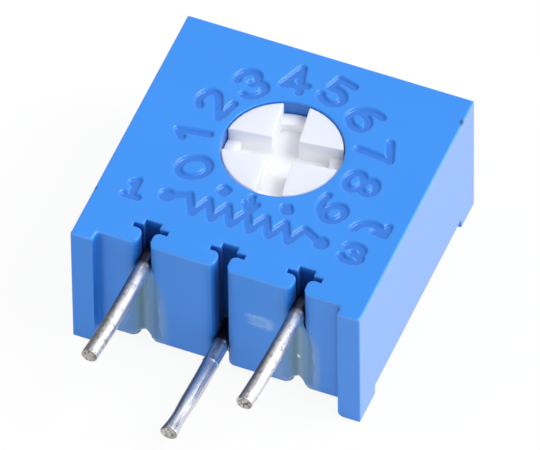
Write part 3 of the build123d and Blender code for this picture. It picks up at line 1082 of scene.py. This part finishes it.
class TRIMMER_OT_inner(bpy.types.Operator):
    """Give the sealed inner pieces their finishes"""

    bl_idname = "trimmer.inner"
    bl_label = "Inner pieces"

    def execute(self, context):
        films = ("centre_conductor", "left_end_conductor", "right_end_conductor")
        joints = [name.replace("lead", "solder_joint") for name in LEAD_NAMES]
        # Nodes, slot, the finish's name and two colours, grain and depth in mm, roughness, metal
        rows = (
            (["rotor_seal"], "seal_rubber",
             "moulded_silicone_rubber", "#2A2A2C", "#1E1E20", 0.4, 0.01, 0.6, 0.0),
            (["wiper_spring"], "wiper_alloy",
             "stamped_spring_alloy", "#D8C08A", "#C4AA72", 0.2, 0.01, 0.28, 1.0),
            (["ceramic_element"], "element_ceramic",
             "fired_alumina", "#F2EFE6", "#E4E0D4", 0.06, 0.01, 0.55, 0.0),
            (["resistive_track"], "track_film",
             "fired_cermet_film", "#2C2926", "#1F1C1A", 0.08, 0.008, 0.5, 0.0),
            (films, "conductor_film",
             "fired_silver_film", "#D6D4CE", "#BDBAB2", 0.08, 0.008, 0.45, 1.0),
            (joints, "solder",
             "soft_solder", "#C9C9C8", "#ABABAA", 0.25, 0.02, 0.3, 1.0),
        )
        for nodes, slot_name, *finish in rows:
            material = plain_finish(*finish)
            for name in nodes:
                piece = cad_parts[name]
                piece.data.materials.clear()
                piece.data.materials.append(material)
        return {"FINISHED"}


class TRIMMER_OT_stage(bpy.types.Operator):
    """Make the floor, the lights and the camera"""

    bl_idname = "trimmer.stage"
    bl_label = "Stage"

    def execute(self, context):
        settings = context.scene.trimmer_stage
        make_floor()
        light_world(settings)
        add_sun("key", settings.key, 35, (0.75, 0.15, 1.0))
        add_sun("side", settings.side, 40, (1.0, 0.35, 0.15))
        add_camera(settings)
        context.scene.view_settings.view_transform = "Standard"
        return {"FINISHED"}


def background_rays(tree):
    """1 on rays that show the background: seen, mirrored or passed through."""
    path = add_node(tree, "LightPath")
    shown = [path.outputs[name] for name in ("Is Camera Ray", "Is Glossy Ray", "Is Transmission Ray")]
    return largest(tree, shown)


def white_with_dim_side(tree, across, low, high):
    """Strength of the white background: 1 where it is seen, and less from the left in mirrors."""
    side = remap(tree, across, low, high, 0.5, 1.0)
    path = add_node(tree, "LightPath")
    return largest(tree, [side, path.outputs["Is Camera Ray"]])


def make_floor():
    """Pale floor that shows white and keeps a light shadow."""
    half, height = 1.0, -0.002 * MM
    corners = [(-half, -half), (half, -half), (half, half), (-half, half)]
    data = bpy.data.meshes.new("floor")
    data.from_pydata([(*corner, height) for corner in corners], [], [(0, 1, 2, 3)])
    floor = add_object("floor", data)
    material, tree = empty_material("white_paper_sweep")
    place = add_node(tree, "TexCoord").outputs["Object"]
    strength = white_with_dim_side(tree, axes_of(tree, place)["X"], -9 * MM, 3 * MM)
    paper = add_node(tree, "BsdfDiffuse", {"Color": linear("#F4F4F4")})
    white = add_node(tree, "Emission", {"Color": WHITE, "Strength": strength})
    part = product(tree, [background_rays(tree), 0.92])
    mix = add_node(tree, "MixShader", {0: part, 1: paper.outputs[0], 2: white.outputs[0]})
    add_node(tree, "OutputMaterial", {"Surface": mix.outputs[0]})
    data.materials.append(material)


def light_world(settings):
    """Even light from all round, and white where the background shows."""
    world = bpy.data.worlds.new("studio")
    bpy.context.scene.world = world
    world.use_nodes = True
    tree = world.node_tree
    tree.nodes.clear()
    direction = add_node(tree, "TexCoord").outputs["Generated"]
    strength = white_with_dim_side(tree, axes_of(tree, direction)["X"], -0.9, 0.1)
    soft = add_node(tree, "Background", {"Color": WHITE, "Strength": settings.fill})
    white = add_node(tree, "Background", {"Color": WHITE, "Strength": strength})
    shaders = {0: background_rays(tree), 1: soft.outputs[0], 2: white.outputs[0]}
    mix = add_node(tree, "MixShader", shaders)
    add_node(tree, "OutputWorld", {"Surface": mix.outputs[0]})


def add_sun(name, strength, spread, towards):
    """A broad sun: its strength, its spread in degrees and the direction that it stands in."""
    light = bpy.data.lights.new(name, "SUN")
    light.energy = strength
    light.angle = math.radians(spread)
    lamp = add_object(name, light)
    lamp.rotation_mode = "QUATERNION"
    lamp.rotation_quaternion = Vector(towards).to_track_quat("Z", "Y")


def add_camera(settings):
    """Camera at the photograph's viewing angle."""
    azimuth, elevation = settings.azimuth, settings.elevation
    flat = math.cos(elevation)
    back = Vector((math.sin(azimuth) * flat, -math.cos(azimuth) * flat, math.sin(elevation)))
    level = Vector((math.cos(azimuth), math.sin(azimuth), 0))
    upright = back.cross(level)
    right = math.cos(settings.roll) * level + math.sin(settings.roll) * upright
    up = -math.sin(settings.roll) * level + math.cos(settings.roll) * upright
    middle = Vector((*plan_centre, settings.aim_height)) * MM
    aim = middle + settings.aim_right * MM * right + settings.aim_up * MM * up
    data = bpy.data.cameras.new("photo_view")
    data.sensor_width = 36.0
    data.lens = settings.lens
    data.clip_start = 0.01
    data.clip_end = 10.0
    camera = add_object("photo_view", data)
    turn = Matrix((right, up, back)).transposed().to_4x4()
    camera.matrix_world = Matrix.Translation(aim + settings.distance * back) @ turn
    bpy.context.scene.camera = camera


class TRIMMER_PT_looks(bpy.types.Panel):
    """Lists the steps that dress the part."""

    bl_label = "Trimmer"
    bl_idname = "TRIMMER_PT_looks"
    bl_space_type = "VIEW_3D"
    bl_region_type = "UI"
    bl_category = "Trimmer"

    def draw(self, context):
        for operator in OPERATORS:
            self.layout.operator(operator.bl_idname)
        for group in ("trimmer_sizes", "trimmer_finish", "trimmer_stage"):
            settings = getattr(context.scene, group)
            column = self.layout.column()
            for name in settings.__annotations__:
                column.prop(settings, name)


OPERATORS = (
    TRIMMER_OT_case,
    TRIMMER_OT_rotor,
    TRIMMER_OT_leads,
    TRIMMER_OT_resin,
    TRIMMER_OT_inner,
    TRIMMER_OT_stage,
)
CLASSES = (TrimmerSizes, TrimmerFinish, TrimmerStage, *OPERATORS, TRIMMER_PT_looks)


def register():
    """Registers the classes and the settings that they keep on the scene."""
    for cls in CLASSES:
        bpy.utils.register_class(cls)
    bpy.types.Scene.trimmer_sizes = PointerProperty(type=TrimmerSizes)
    bpy.types.Scene.trimmer_finish = PointerProperty(type=TrimmerFinish)
    bpy.types.Scene.trimmer_stage = PointerProperty(type=TrimmerStage)


def unregister():
    """Takes the settings and the classes away again."""
    del bpy.types.Scene.trimmer_stage
    del bpy.types.Scene.trimmer_finish
    del bpy.types.Scene.trimmer_sizes
    for cls in reversed(CLASSES):
        bpy.utils.unregister_class(cls)


def main():
    """Makes every piece and the stage."""
    register()
    bpy.ops.trimmer.case()
    bpy.ops.trimmer.rotor()
    bpy.ops.trimmer.leads()
    bpy.ops.trimmer.resin()
    bpy.ops.trimmer.inner()
    bpy.ops.trimmer.stage()


if __name__ == "__main__":
    main()
